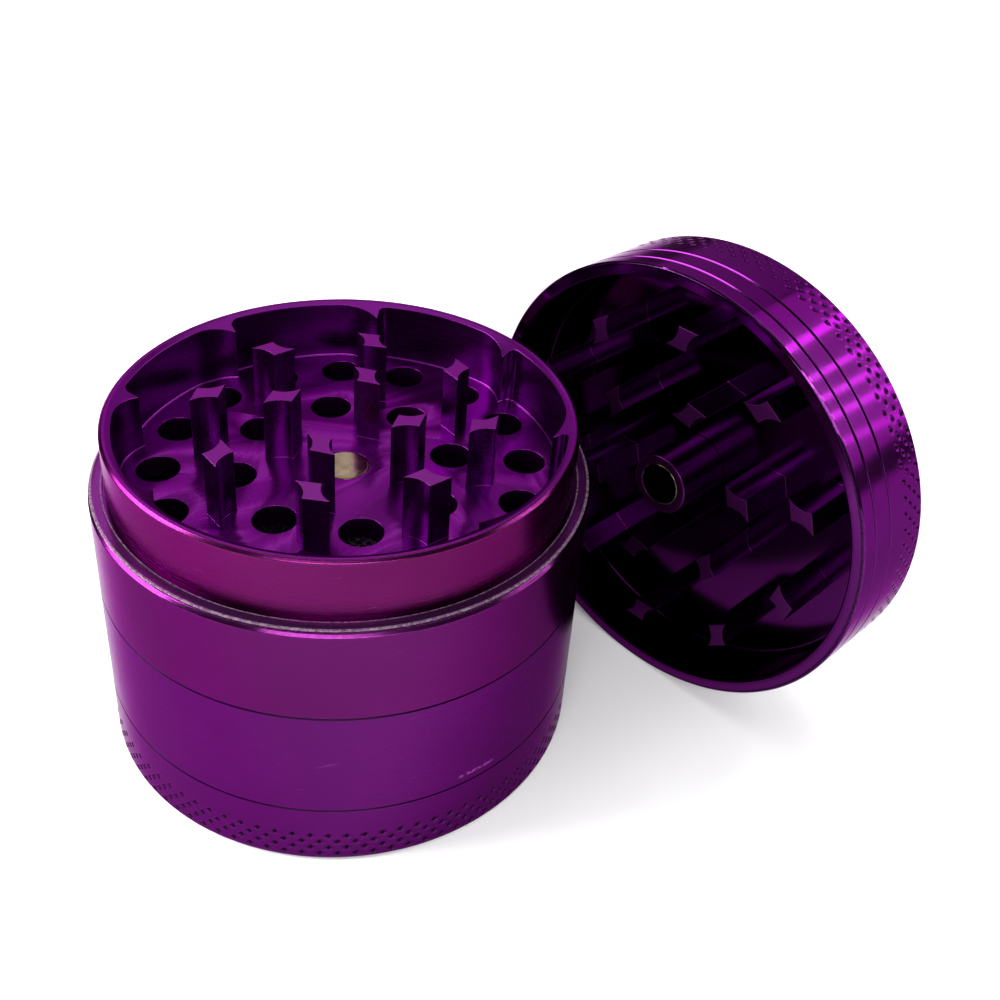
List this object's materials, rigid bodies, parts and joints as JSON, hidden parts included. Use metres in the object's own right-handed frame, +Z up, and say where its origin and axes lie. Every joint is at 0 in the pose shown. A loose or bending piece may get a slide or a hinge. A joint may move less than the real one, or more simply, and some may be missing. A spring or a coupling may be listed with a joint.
{
  "type": "herb grinder",
  "caption": "Round screw-together metal herb grinder with a toothed chamber, a sieve section, a catcher and a magnetic lid that stands open beside it.",
  "frame": {"origin": "centre of the underside of the catcher, on the table", "axes": "+Z up along the axis of the stacked sections, +X towards the lid that stands beside them, -Y towards the viewer"},
  "size_m": [0.0825, 0.0532, 0.05],
  "materials": {
    "purple_anodised": "satin purple anodised, glossier on the milled floor",
    "nickel": "nickel plated",
    "steel_mesh": "fine woven wire",
    "steel_ring": "turned steel",
    "clear_ring": "clear flexible polymer"
  },
  "bodies": {
    "catcher": {"catcher_floor": "purple_anodised", "catcher_wall": "purple_anodised"},
    "screen_ring": {"retaining_ring": "steel_ring"},
    "screen_section": {"screen_shell": "purple_anodised", "screen_skirt": "purple_anodised", "mesh_screen": "steel_mesh"},
    "chamber_magnet": {"chamber_magnet": "nickel"},
    "grinding_section": {"chamber_band": "purple_anodised", "chamber_floor": "purple_anodised", "chamber_collar": "purple_anodised", "chamber_skirt": "purple_anodised", "chamber_tooth_1": "purple_anodised", "chamber_tooth_2": "purple_anodised", "chamber_tooth_3": "purple_anodised", "chamber_tooth_4": "purple_anodised", "chamber_tooth_5": "purple_anodised", "chamber_tooth_6": "purple_anodised", "chamber_tooth_7": "purple_anodised", "chamber_tooth_8": "purple_anodised", "chamber_tooth_9": "purple_anodised", "chamber_tooth_10": "purple_anodised", "chamber_tooth_11": "purple_anodised", "chamber_tooth_12": "purple_anodised"},
    "friction_ring": {"friction_ring": "clear_ring"},
    "lid_magnet": {"lid_magnet": "nickel"},
    "lid": {"lid_wall": "purple_anodised", "lid_plate": "purple_anodised", "lid_post": "purple_anodised", "lid_tooth_1": "purple_anodised", "lid_tooth_2": "purple_anodised", "lid_tooth_3": "purple_anodised", "lid_tooth_4": "purple_anodised", "lid_tooth_5": "purple_anodised", "lid_tooth_6": "purple_anodised", "lid_tooth_7": "purple_anodised", "lid_tooth_8": "purple_anodised", "lid_tooth_9": "purple_anodised", "lid_tooth_10": "purple_anodised", "lid_tooth_11": "purple_anodised", "lid_tooth_12": "purple_anodised", "lid_tooth_13": "purple_anodised", "lid_tooth_14": "purple_anodised", "lid_tooth_15": "purple_anodised", "lid_tooth_16": "purple_anodised"}
  },
  "joints": [
    {"name": "screen_lift", "type": "slide", "parent": "catcher", "child": "screen_ring", "axis": [0, 0, 1], "range_m": [0, 0.00451]},
    {"name": "screen_turn", "type": "hinge", "parent": "screen_ring", "child": "screen_section", "pos_m": [0, 0, 0.01], "axis": [0, 0, 1], "range_deg": [0, 1080]},
    {"name": "chamber_lift", "type": "slide", "parent": "screen_section", "child": "chamber_magnet", "axis": [0, 0, 1], "range_m": [0, 0.00451]},
    {"name": "chamber_turn", "type": "hinge", "parent": "chamber_magnet", "child": "grinding_section", "pos_m": [0, 0, 0.025], "axis": [0, 0, 1], "range_deg": [0, 1080]},
    {"name": "friction_ring_lift", "type": "slide", "parent": "grinding_section", "child": "friction_ring", "axis": [0, 0, 1], "range_m": [0, 0.012]},
    {"name": "lid_slide", "type": "slide", "parent": "catcher", "child": "lid_magnet", "axis": [0.7923, 0.6101, 0], "range_m": [0, 0.03]},
    {"name": "lid_turn", "type": "hinge", "parent": "lid_magnet", "child": "lid", "pos_m": [0.0338, 0.002, 0.02502], "axis": [0.7923, 0.6101, 0], "continuous": true}
  ],
  "couplings": [
    {"joint": "screen_lift", "follows": "screen_turn", "m_per_rad": 0.00023873},
    {"joint": "chamber_lift", "follows": "chamber_turn", "m_per_rad": 0.00023873}
  ]
}
